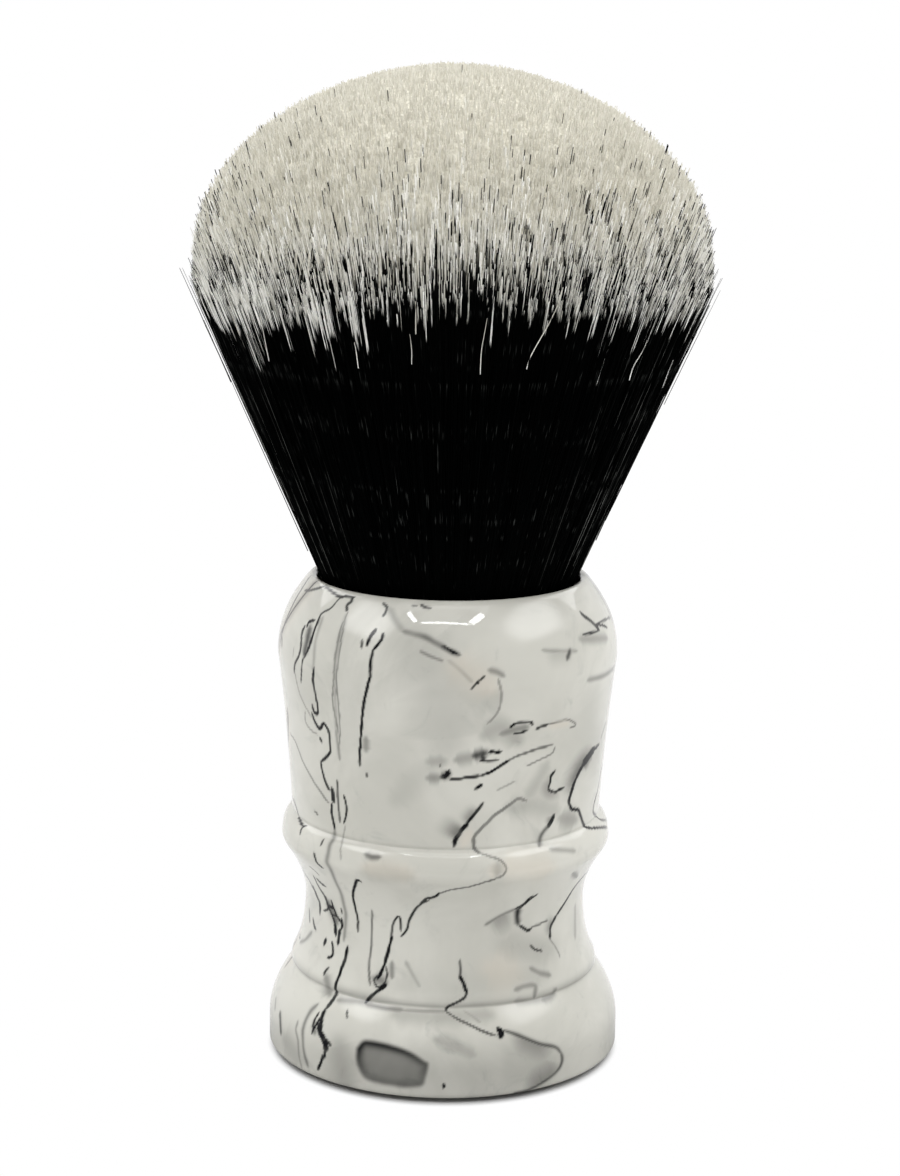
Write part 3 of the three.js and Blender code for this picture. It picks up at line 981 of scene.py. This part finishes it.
def dome(count):
    """(radius, height) points of the dome, from a little under its widest place to the crown."""
    angle = np.linspace(-0.2, math.pi / 2, count)
    radius = BULB_RADIUS * np.cos(angle) ** (2 / DOME_POWER)
    return radius, DOME_BASE + (CROWN_Z - DOME_BASE) * np.sin(angle)


def tip_height(share):
    """Height at which the flow line meets the dome."""
    radius, height = dome(400)
    return np.interp(share, (radius / (FLARE * (height - APEX_Z)))[::-1], height[::-1])


def scattered(random, inner, outer, count):
    """Shares of fibres spread evenly over the ring between two shares."""
    return np.sqrt(random.uniform(inner**2, outer**2, count))


# ---- Knot: where the dye ends -----------------------------------------------
# A fibre is black up to its dye line. The fibres of a tuft share one line, so that cream wisps hang
# down into the black, and dark streaks rise into the cream.

DYE_MIDDLE = 91.6
DYE_WANDER = {        # angle in degrees: millimetres above or below the middle height
    -150: 0.6, -110: -0.6, -85: -1.5, -62: -3.3, -42: -2.3, -25: -1.0, -12: 0.9, 5: 1.5, 12: 0.7,
    24: 0.5, 38: -0.6, 60: -2.4, 90: 0.2, 125: -0.8, 160: 1.0,
}
LOCKS, LOCK_RISE = 118, 0.5
TUFTS, TUFT_CELLS = 1000, 8     # round the knot, and from the axis out
TUFT_ODDS = (0.0, 0.015, 0.13, 0.55, 0.86, 0.96, 0.99, 1.0)     # share of the tufts that turn cream
TUFT_RISES = (-6.5, -4.2, -1.7, 0.4, 2.8, 6.0, 10, 14)           # below this rise over the middle
TUFT_POINT = 1.2                 # the sides of a tuft turn cream this much higher than its middle
TUFT_PULL = 0.75                 # how much the fibres gather in the middle of their tuft
PULLED_SHARES = (0.55, 0.85)
TUFT_LIFT = 0.006                # how much further out a tuft lies for being cream low down
FLECK_SHARES = (0, 0.45, 0.60, 0.72, 0.80, 0.87, 0.93, 1)      # places of single dark fibres, from the
FLECK_ODDS = (0.0004, 0.0010, 0.005, 0.013, 0.028, 0.050, 0.04, 0.01)     # axis out, and their odds


class Bundles:
    """Neighbouring bundles of fibres round the knot, of uneven width."""

    def __init__(self, random, count):
        widths = random.uniform(0.4, 1.6, count)
        self.edges = np.concatenate([[0], np.cumsum(widths) / widths.sum()])
        self.last = count - 1

    def at(self, turn):
        """The bundle that a place belongs to, its middle, and how far from it the place lies, 0 to 1."""
        index = np.clip(np.searchsorted(self.edges, turn, "right") - 1, 0, self.last)
        low, high = self.edges[index], self.edges[index + 1]
        return index, (low + high) / 2, np.abs((turn - low) / (high - low) * 2 - 1)


class Dye:
    """Gathers fibres into tufts, and tells where each turns from black to cream."""

    def __init__(self):
        random = np.random.default_rng(57)
        self.locks = Bundles(random, LOCKS)
        self.lock_rises = random.normal(0, LOCK_RISE, LOCKS)
        self.tufts = Bundles(random, TUFTS)
        self.shifts = random.random(TUFTS)
        self.rises = np.interp(random.random((TUFTS, TUFT_CELLS + 2)), TUFT_ODDS, TUFT_RISES)

    def gathered(self, turn, share):
        middle = self.tufts.at(turn)[1]
        return turn + (middle - turn) * TUFT_PULL * smoothstep(*PULLED_SHARES, share)

    def heights(self, random, turn, share):
        lock, _, off = self.locks.at(turn)
        height = np.interp(turn * 360, *wander_points(), period=360)
        height += self.lock_rises[lock] * (1 - off**2)
        tuft, _, off = self.tufts.at(turn)
        cell = np.floor(share * TUFT_CELLS + self.shifts[tuft]).astype(int)
        height += self.rises[tuft, cell] + TUFT_POINT * (off**2 - 0.33)
        height += random.normal(0, 0.2, len(share))
        fleck = random.random(len(share)) < np.interp(share, FLECK_SHARES, FLECK_ODDS)
        return np.where(fleck, CROWN_Z + 1, height)


def wander_points():
    angles = [a % 360 for a in DYE_WANDER]
    return angles, [DYE_MIDDLE + rise for rise in DYE_WANDER.values()]


# ---- Knot: fibres as rods ---------------------------------------------------
# The fibres share one map. Across, it has columns for the heights at which the dye may end; up, it is
# the height along the knot. All fibres of a column look the same, so they may lie on each other in it.

MAP_COLUMNS = 500
MAP_LOW, MAP_HIGH = 50.0, 122.0      # heights at the ends of the map
DYE_LOW, DYE_HIGH = 78.0, 126.0      # dye lines of the first and the last column
TONE_BAND = 6                         # neighbouring columns that share one tone
PAINTED_SHEEN_COLUMN, PAINTED_SHEEN_RANGE = 420, 80    # the last columns are of black hairs with a painted sheen: grey streaks in their colour


def rods(name, paths, thick, dye, random, material):
    """Three-sided rods along paths (fibre, station, xyz) of given thickness per station."""
    count, stations = paths.shape[:2]
    along = np.gradient(paths, axis=1)
    along /= np.linalg.norm(along, axis=-1, keepdims=True)
    side = np.cross(along, np.array([0.0, 0.0, 1.0]))
    flat = np.linalg.norm(side, axis=-1, keepdims=True)
    side = np.where(flat > 1e-4, side / np.maximum(flat, 1e-4), np.array([1.0, 0.0, 0.0]))
    up = np.cross(side, along)
    roll = random.uniform(0, 2 * math.pi, count)
    corners = []
    for k in range(3):
        turn = roll + k * 2 * math.pi / 3
        offset = np.cos(turn)[:, None, None] * side + np.sin(turn)[:, None, None] * up
        corners.append(paths + offset * thick[..., None])
    points = np.stack(corners, 2).reshape(-1, 3)

    base = (np.arange(count) * stations * 3)[:, None, None]
    ring = (np.arange(stations - 1) * 3)[None, :, None]
    k = np.arange(3)[None, None, :]
    after = (k + 1) % 3
    here, above = base + ring, base + ring + 3
    quads = np.stack([here + k, here + after, above + after, above + k], -1).reshape(-1, 4)
    root = np.arange(count) * stations * 3
    tip = root + (stations - 1) * 3
    low = np.stack([root + 2, root + 1, root], -1)
    high = np.stack([tip, tip + 1, tip + 2], -1)

    column = np.floor(np.clip((dye - DYE_LOW) / (DYE_HIGH - DYE_LOW), 0, 0.9999) * MAP_COLUMNS)
    column = np.repeat(column, stations * 3)
    v = np.repeat(np.clip((paths[..., 2] - MAP_LOW) / (MAP_HIGH - MAP_LOW), 0, 1).ravel(), 3)
    uv = []
    end_across = (0.2, 0.8, 0.5)
    for faces, across in ((quads, (0.2, 0.8, 0.8, 0.2)), (low, end_across), (high, end_across)):
        u = (column[faces] + np.array(across)) / MAP_COLUMNS
        uv.append(np.stack([u, v[faces]], -1).reshape(-1, 2))
    obj = make_mesh(name, points, [quads, low, high], np.concatenate(uv))
    dress(obj, material)
    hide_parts("fibre_shafts", "fibre_tips")


FIBRE_RADIUS = 0.066
TIP_SPREAD = (0.12, 0.42)     # at the crown and at the rim


def fan_paths(random, angle, share, start, end, stations, stray):
    """Paths along the fan's flow lines, a little bowed and rippled: (fibre, station, xyz)."""
    count = len(share)
    z = start[:, None] + (end - start)[:, None] * np.linspace(0, 1, stations)
    free = np.clip((z - HANDLE_TOP) / (CROWN_Z - HANDLE_TOP), 0, 1)
    bow, sway = random.normal(0, stray, (2, count, 1)) * free**1.5
    out = share[:, None] * FLARE * (z - APEX_Z) + bow + random.normal(0, 0.04, z.shape) * free
    angle = angle[:, None]
    return around(angle, out, z) + sideways(angle, sway)


def tapered(random, count, stations, tip):
    """Thickness per station: uneven from fibre to fibre, and thinner towards the tip."""
    taper = 1 - (1 - tip) * smoothstep(0.4, 1.0, np.linspace(0, 1, stations))
    return FIBRE_RADIUS * random.uniform(0.7, 1.35, count)[:, None] * taper[None]


# ---- Knot: materials --------------------------------------------------------

FIBRE_BLACK = srgb(2, 3, 3)
FIBRE_GLINT = srgb(70, 72, 70)
# Colour of the painted sheen on black hairs.
FIBRE_PAINTED_SHEEN = srgb(180, 182, 177)
FIBRE_PALE = srgb(221, 218, 206)
FIBRE_TAN = srgb(193, 189, 174)
# The whitest cream, just above the dye, is partly the wisps' own cooler white and partly painted light
# on the wisps that hang into the black.
FIBRE_WHITE = srgb(255, 254, 248)     # just above the dye
FIBRE_DIM = srgb(206, 204, 193)


def fibre_material():
    """Colour of a fibre by its map: the column gives its dye line, v is the height."""
    n = Nodes("knot_fibre")
    uv = n.split(n.add("UVMap", uv_map="OFBake").outputs[0])
    column = n.math("FLOOR", n.math("MULTIPLY", uv[0], MAP_COLUMNS))
    z = n.math("MULTIPLY_ADD", uv[1], MAP_HIGH - MAP_LOW, MAP_LOW)
    dye_step = (DYE_HIGH - DYE_LOW) / MAP_COLUMNS
    dye = n.math("MULTIPLY_ADD", column, dye_step, DYE_LOW)
    white = n.ramp(n.math("SUBTRACT", z, dye), -0.4, 0.4)
    band = n.math("FLOOR", n.math("DIVIDE", column, TONE_BAND))
    own = n.add("TexWhiteNoise", {"W": band}, noise_dimensions="1D").outputs["Value"]
    place = n.add("CombineXYZ", {0: n.math("MULTIPLY", column, 0.09), 1: n.math("MULTIPLY", z, 0.25)})
    streak = n.noise(place.outputs[0], 1.0, 2, 0.6)
    tone = n.ramp(n.math("MULTIPLY_ADD", streak, 0.5, n.math("MULTIPLY", own, 0.6)), 0.1, 0.9)
    cream = n.mix(tone, FIBRE_TAN, FIBRE_PALE)
    # Just above the dye the cream turns whiter: partly the wisps' cooler white, partly painted light on
    # the wisps that hang into the black.
    near = n.ramp(n.math("SUBTRACT", z, dye), 3.0, 12.0, 1.0, 0.0)
    cream = n.mix(near, cream, n.mix(n.ramp(tone, 0.35, 0.6), FIBRE_DIM, FIBRE_WHITE))
    black = n.mix(n.ramp(streak, 0.62, 0.74, 0.0, 0.5), FIBRE_BLACK, FIBRE_GLINT)
    # The last columns get a painted sheen: grey streaks on the black.
    painted_sheen = n.ramp(column, PAINTED_SHEEN_COLUMN - 0.5, PAINTED_SHEEN_COLUMN + PAINTED_SHEEN_RANGE, 0.0, 1.0)
    painted_sheen = n.math("MULTIPLY", painted_sheen, n.ramp(streak, 0.35, 0.6))
    black = n.mix(painted_sheen, black, FIBRE_PAINTED_SHEEN)
    n.set(Base_Color=n.mix(white, black, cream), Roughness=n.ramp(white, 0.0, 1.0, 0.7, 0.5))
    n.set(IOR=1.45, Specular_IOR_Level=n.ramp(white, 0.0, 1.0, 0.02, 0.4))
    n.set(Sheen_Weight=n.math("MULTIPLY", white, near), Sheen_Roughness=0.5)
    return n.material


CORE_INSET = 0.5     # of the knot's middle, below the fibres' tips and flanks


def core_outline():
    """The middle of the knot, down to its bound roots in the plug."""
    bound = ROOT_RADIUS - 1.1
    roots = [
        (0, ROOT_BOTTOM), (ROOT_RADIUS, ROOT_BOTTOM), (ROOT_RADIUS, THREAD_LOW - 0.9),
        (bound, THREAD_LOW - 0.35), (bound, THREAD_HIGH + 0.35), (ROOT_RADIUS, THREAD_HIGH + 0.9),
        (ROOT_RADIUS - 0.1, PLUG_TOP - 0.5),
    ]
    side_z = np.linspace(PLUG_TOP, tip_height(1.0) - 1, 14)
    side = np.stack([FLARE * (side_z - APEX_Z) - CORE_INSET, side_z], -1)
    share = np.linspace(0.985, 0, 70)
    top_z = tip_height(share) - CORE_INSET
    top = np.stack([np.maximum(share * (FLARE * (top_z - APEX_Z) - CORE_INSET), 0), top_z], -1)
    return np.concatenate([roots, side, top])


def core_material():
    n = Nodes("knot_core")
    place = n.add("TexCoord").outputs["Object"]
    x, y, z = n.split(place)
    angle = n.math("ARCTAN2", x, y)
    streak = n.add("CombineXYZ", {0: n.math("MULTIPLY", angle, 90), 1: n.math("MULTIPLY", z, 40)})
    jitter = n.math("SUBTRACT", n.noise(streak.outputs[0], 1.0, 2, 0.6), 0.5)
    height = n.math("MULTIPLY_ADD", jitter, 0.020, z)
    # The core stays black a few millimetres above the middle dye line: partly the higher dye of inner
    # fibres, partly painted shade in the gaps between tufts.
    white = n.ramp(height, (DYE_MIDDLE + 2.5) * MM, (DYE_MIDDLE + 7.0) * MM)
    speckle = n.ramp(n.noise(place, 2600, 2, 0.6), 0.35, 0.65)
    cream = n.mix(speckle, FIBRE_TAN, FIBRE_PALE)
    n.set(Base_Color=n.mix(white, FIBRE_BLACK, cream), Roughness=0.8, Specular_IOR_Level=0.1)
    return n.material


# ---- Knot: meshes -----------------------------------------------------------

# Layers of fibres from the outside in: name, inner and outer share, count, stations, stray, how thick
# the tip is, and slot
FIBRE_LAYERS = [
    ("fibres_outer", 0.972, 1.0, 6200, 6, 0.10, 0.45, "black_fibre"),
    ("fibres_side", 0.88, 0.976, 7600, 5, 0.12, 0.55, "cream_fibre"),
    ("fibres_rim", 0.63, 0.89, 24500, 2, 0.10, 0.75, "cream_fibre"),
    ("fibres_crown", 0.0, 0.63, 22000, 2, 0.10, 0.75, "cream_fibre"),
]
FIBRE_DEPTHS = ((0, 0.6, 0.88, 0.96), (4, 6.5, 14, 30))    # share: how far below its tip a fibre starts
PROUD_FLECK = (0.2, 0.8)                                    # how far dark fibres stand out of the dome

# Long pale hairs that stray across the black, by pixels of the photograph
PLACED_HAIRS = [
    "561,290 557,305 548,324 530,356 526,369", "646,340 642,350 632,367 628,380",
    "487,318 483,340 481,352 480,374", "259,306 264,330 270,361",
    "355,342 357,352 359,368", "416,301 416,334", "410,334 412,350 412,364", "672,360 667,372 661,388",
]
STRAY_HAIRS = 320
PAINTED_SHEEN_HAIRS = 1300                             # black hairs with a painted sheen, before they are thinned by the odds below
PAINTED_SHEEN_ANGLES = (0, 30, 55, 90, 180)            # degrees from the front
PAINTED_SHEEN_ODDS = (0.06, 0.12, 0.5, 0.9, 0.5)        # share of the hairs with painted sheen kept there


def layer_of_fibres(dye_line, index, name, inner, outer, count, stations, stray, tip, slot, material):
    random = np.random.default_rng(101 + index)
    share = scattered(random, inner, outer, count)
    turn = dye_line.gathered(random.uniform(0, 1, count), share)
    dye = dye_line.heights(random, turn, share)
    angle = turn * 2 * math.pi
    end = tip_height(share) + random.normal(0, 1, count) * np.interp(share, (0.3, 0.9), TIP_SPREAD)
    end += np.where(dye > end, random.uniform(*PROUD_FLECK, count), 0)
    lift = TUFT_LIFT * smoothstep(DYE_MIDDLE + 1, DYE_MIDDLE - 6, dye) * (share > 0.9)
    if index == 0:
        start = np.full(count, PLUG_TOP + 1.0)
    else:
        start = end - np.interp(share, *FIBRE_DEPTHS)
    paths = fan_paths(random, angle, share + lift, start, end, stations, stray)
    rods(name, paths, tapered(random, count, stations, tip), dye, random, material)


def placed_hairs(stations):
    """Paths of the hairs that are placed by the photograph."""
    z = np.linspace(HANDLE_TOP, DOME_BASE + 3, 60)
    outside = np.stack([np.minimum(FLARE * (z - APEX_Z), BULB_RADIUS) + 0.1, z], -1)
    paths = []
    for run in PLACED_HAIRS:
        spots = meet(rounded(pixels_in(run), 3), outside)
        spots = spots[np.linspace(0, len(spots) - 1, stations).round().astype(int)][::-1]
        radius = np.interp(spots[:, 1], z, outside[:, 0]) + 0.15
        paths.append(around(spots[:, 0] * 2 * math.pi, radius, spots[:, 1]))
    return np.stack(paths)


def stray_hairs(random, material):
    """Single hairs, pale and dark, that curve over the outside of the knot."""
    stations = 9
    placed = placed_hairs(stations)
    share = random.uniform(0.996, 1.025, STRAY_HAIRS)
    angle = random.uniform(0, 2 * math.pi, STRAY_HAIRS)
    end = tip_height(1.0) + random.uniform(-5, 3.5, STRAY_HAIRS)
    start = end - random.uniform(4, 30, STRAY_HAIRS)
    paths = fan_paths(random, angle, share, start, end, stations, 0.5)
    t = np.linspace(0, 1, stations)
    curl = random.normal(0, 0.35, (STRAY_HAIRS, 1)) * np.sin(random.uniform(2, 6, (STRAY_HAIRS, 1)) * t)
    paths = np.concatenate([placed, paths + sideways(angle[:, None], curl)])
    pale = random.random(len(paths)) < 0.03
    pale[: len(placed)] = True
    low = DYE_LOW + random.uniform(4, 14, len(paths))
    low[: len(placed)] = DYE_LOW
    dye = np.where(pale, low, DYE_HIGH - 13)
    thick = tapered(random, len(paths), stations, 0.5) * 0.8
    rods("fibres_stray", paths, thick, dye, random, material)


def painted_sheen_hairs(random, material):
    """Black hairs with a painted sheen: grey streaks in their colour, so that they show against the
    rest.
    """
    angle = random.uniform(-math.pi, math.pi, PAINTED_SHEEN_HAIRS)
    odds = np.interp(np.abs(np.degrees(angle)), PAINTED_SHEEN_ANGLES, PAINTED_SHEEN_ODDS)
    kept = random.random(PAINTED_SHEEN_HAIRS) < odds
    angle, odds = angle[kept], odds[kept]
    count = len(angle)
    share = random.uniform(0.996, 1.004, count)
    end = random.uniform(HANDLE_TOP + 10, DYE_MIDDLE - 1, count)
    start = np.maximum(end - random.uniform(4, 26, count), HANDLE_TOP + 1)
    paths = fan_paths(random, angle, share, start, end, 5, 0.30)
    brightness = np.clip(random.uniform(0.05, 1, count) * odds, 0, 1)
    span = (DYE_HIGH - DYE_LOW) / MAP_COLUMNS
    dye = DYE_LOW + span * (PAINTED_SHEEN_COLUMN + brightness * (PAINTED_SHEEN_RANGE - 1))
    thick = tapered(random, count, 5, 0.5) * 0.6
    rods("fibres_painted_sheen", paths, thick, dye, random, material)


def build_knot():
    core = revolve("knot_core", core_outline(), np.arange(180) / 180)
    dress(core, core_material())
    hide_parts("fibre_shafts", "fibre_tips")
    material = fibre_material()
    dye_line = Dye()
    for index, layer in enumerate(FIBRE_LAYERS):
        layer_of_fibres(dye_line, index, *layer, material)
    random = np.random.default_rng(211)
    stray_hairs(random, material)
    painted_sheen_hairs(random, material)


# ---- Pieces kept from the CAD -----------------------------------------------


def plain_material(name, low, high, scale, roughness, bump):
    n = Nodes(name)
    place = n.add("TexCoord").outputs["Object"]
    n.set(Base_Color=n.mix(n.noise(place, scale, 3), low, high), Roughness=roughness)
    n.bump(n.noise(place, scale * 3, 2), bump, 0.0003)
    return n.material


def dress_inner_pieces():
    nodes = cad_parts
    cured = plain_material("clear_adhesive", srgb(196, 178, 130), srgb(212, 196, 150), 300, 0.35, 0.1)
    cast = plain_material("cast_plug", srgb(208, 202, 182), srgb(222, 217, 200), 250, 0.4, 0.15)
    twist = plain_material("thread", srgb(214, 208, 192), srgb(238, 234, 224), 1500, 0.9, 0.5)
    for name, material in (("adhesive_bed", cured), ("knot_plug", cast), ("binding_thread", twist)):
        nodes[name].data.materials.clear()
        nodes[name].data.materials.append(material)


# ---- Stage: floor, light ----------------------------------------------------

FLOOR_SIZE = 3000                # from its middle to its edges
FLOOR_DROP = 0.50                # the contact shadow shows in this gap under the foot's rounded edge
SHADOW_AHEAD = 0.8               # how far the middle of the shadow is moved to the front
SHADOW_REACH = (0.0200, 0.0213)  # metres from its middle between which the floor turns plain white
FRONT_DARK = 0.80                # how much darker the front of the room is in the gloss
FRONT_WIDTH = (-0.4, 0.8)        # from the middle of the dark front to its edge, as y of a direction


def room_in_gloss(n, seen, direction):
    """Level of the white room: 1, and less at the front where it shows in the gloss."""
    dark = n.ramp(n.split(direction)[1], *FRONT_WIDTH, FRONT_DARK, 0.0)
    return n.math("SUBTRACT", 1.0, n.math("MULTIPLY", seen["Is Glossy Ray"], dark))


def room_share(n, seen):
    """1 for rays that see the room itself, and 0 for the light that falls on things."""
    share = n.math("MAXIMUM", seen["Is Camera Ray"], seen["Is Glossy Ray"])
    return n.math("MAXIMUM", share, seen["Is Transmission Ray"])


def floor_material():
    """White floor, painted darker grey close to the brush as painted shade, that keeps the brush's
    shadow near it and fades into the white world.
    """
    n = Nodes("floor")
    place = n.add("TexCoord").outputs["Object"]
    away = n.add("VectorMath", {0: place}, operation="LENGTH").outputs["Value"]
    # Darker grey close to the brush: painted shade on the floor round the foot.
    n.set(Base_Color=n.ramp(away, 0.024, 0.05, 0.5, 0.92), Roughness=0.9, Specular_IOR_Level=0.0)
    seen = n.add("LightPath").outputs
    direction = n.add("VectorMath", {0: place}, operation="NORMALIZE").outputs["Vector"]
    glow = n.add("Emission", {"Strength": room_in_gloss(n, seen, direction)}).outputs[0]
    share = n.math("MULTIPLY", room_share(n, seen), n.ramp(away, *SHADOW_REACH))
    mix = n.add("MixShader", {0: share, 1: n.shader.outputs[0], 2: glow})
    n.join(mix.outputs[0], n.tree.nodes["Material Output"].inputs["Surface"])
    return n.material


def add_floor():
    signs = ((-1, -1), (1, -1), (1, 1), (-1, 1))
    points = np.array([(x * FLOOR_SIZE, y * FLOOR_SIZE, -FLOOR_DROP) for x, y in signs])
    floor = make_mesh("floor", points, np.array([[0, 1, 2, 3]]))
    floor.location.y = -SHADOW_AHEAD * MM
    floor.data.materials.append(floor_material())


AMBIENT = 0.46


def set_world():
    """A white room, whose light on things is AMBIENT."""
    world = bpy.data.worlds.new("world")
    bpy.context.scene.world = world
    world.use_nodes = True
    n = Tree(world.node_tree)
    seen = n.add("LightPath").outputs
    room = room_in_gloss(n, seen, n.add("TexCoord").outputs["Generated"])
    level = n.math("MULTIPLY_ADD", room_share(n, seen), 1 - AMBIENT, AMBIENT)
    background = n.tree.nodes["Background"].inputs
    n.join((1, 1, 1, 1), background["Color"])
    n.join(n.math("MULTIPLY", level, room), background["Strength"])


MIDDLE = Vector((0, 0, 0.06))
LIGHT_DISTANCE = 0.8

# Lights round the brush: name, azimuth from the front and elevation in degrees, roll, width and height
# in metres, power, and whether it fades towards its edges
LIGHTS = [
    ("top", 0, 88, 0, 0.70, 0.70, 2.8, False),
    ("left", -70, 40, 0, 0.62, 0.46, 4.6, True),
    ("right", 76, 39, 0, 0.80, 0.46, 5.2, True),
    ("back_left", -135, 42, 0, 0.50, 0.50, 1.7, False),
    ("back_right", 135, 42, 0, 0.50, 0.50, 1.7, False),
    ("bar", -2.5, 54, 0, 0.40, 0.020, 0.50, False),
    ("bar_left", -37, 54.5, -35, 0.13, 0.035, 0.28, False),
    ("bar_right", 29.5, 55, 28, 0.14, 0.055, 0.45, False),
]


def fade_to_edges(light):
    """A soft box that is brightest in its middle."""
    light.use_nodes = True
    n = Tree(light.node_tree)
    place = n.split(n.add("NewGeometry").outputs["Parametric"])
    rise = [n.math("MULTIPLY", across, n.math("SUBTRACT", 1.0, across)) for across in place[:2]]
    n.join(n.ramp(n.math("MULTIPLY", *rise), 0.0, 0.055), n.tree.nodes["Emission"].inputs["Strength"])


def add_lights():
    for name, azimuth, elevation, roll, width, height, power, fades in LIGHTS:
        data = bpy.data.lights.new(name, "AREA")
        data.shape = "RECTANGLE"
        data.size, data.size_y = width, height
        data.energy = power
        if fades:
            fade_to_edges(data)
        light = bpy.data.objects.new(name, data)
        a, e = math.radians(azimuth), math.radians(elevation)
        away = Vector((math.sin(a) * math.cos(e), -math.cos(a) * math.cos(e), math.sin(e)))
        turn = (-away).to_track_quat("-Z", "Y").to_matrix().to_4x4()
        turn = turn @ Matrix.Rotation(math.radians(roll), 4, "Z")
        light.matrix_world = Matrix.Translation(MIDDLE + away * LIGHT_DISTANCE) @ turn
        bpy.context.scene.collection.objects.link(light)


# ---- Scene ------------------------------------------------------------------

bpy.context.scene.view_settings.view_transform = "Standard"
add_camera()
build_handle()
build_knot()
dress_inner_pieces()
add_floor()
set_world()
add_lights()
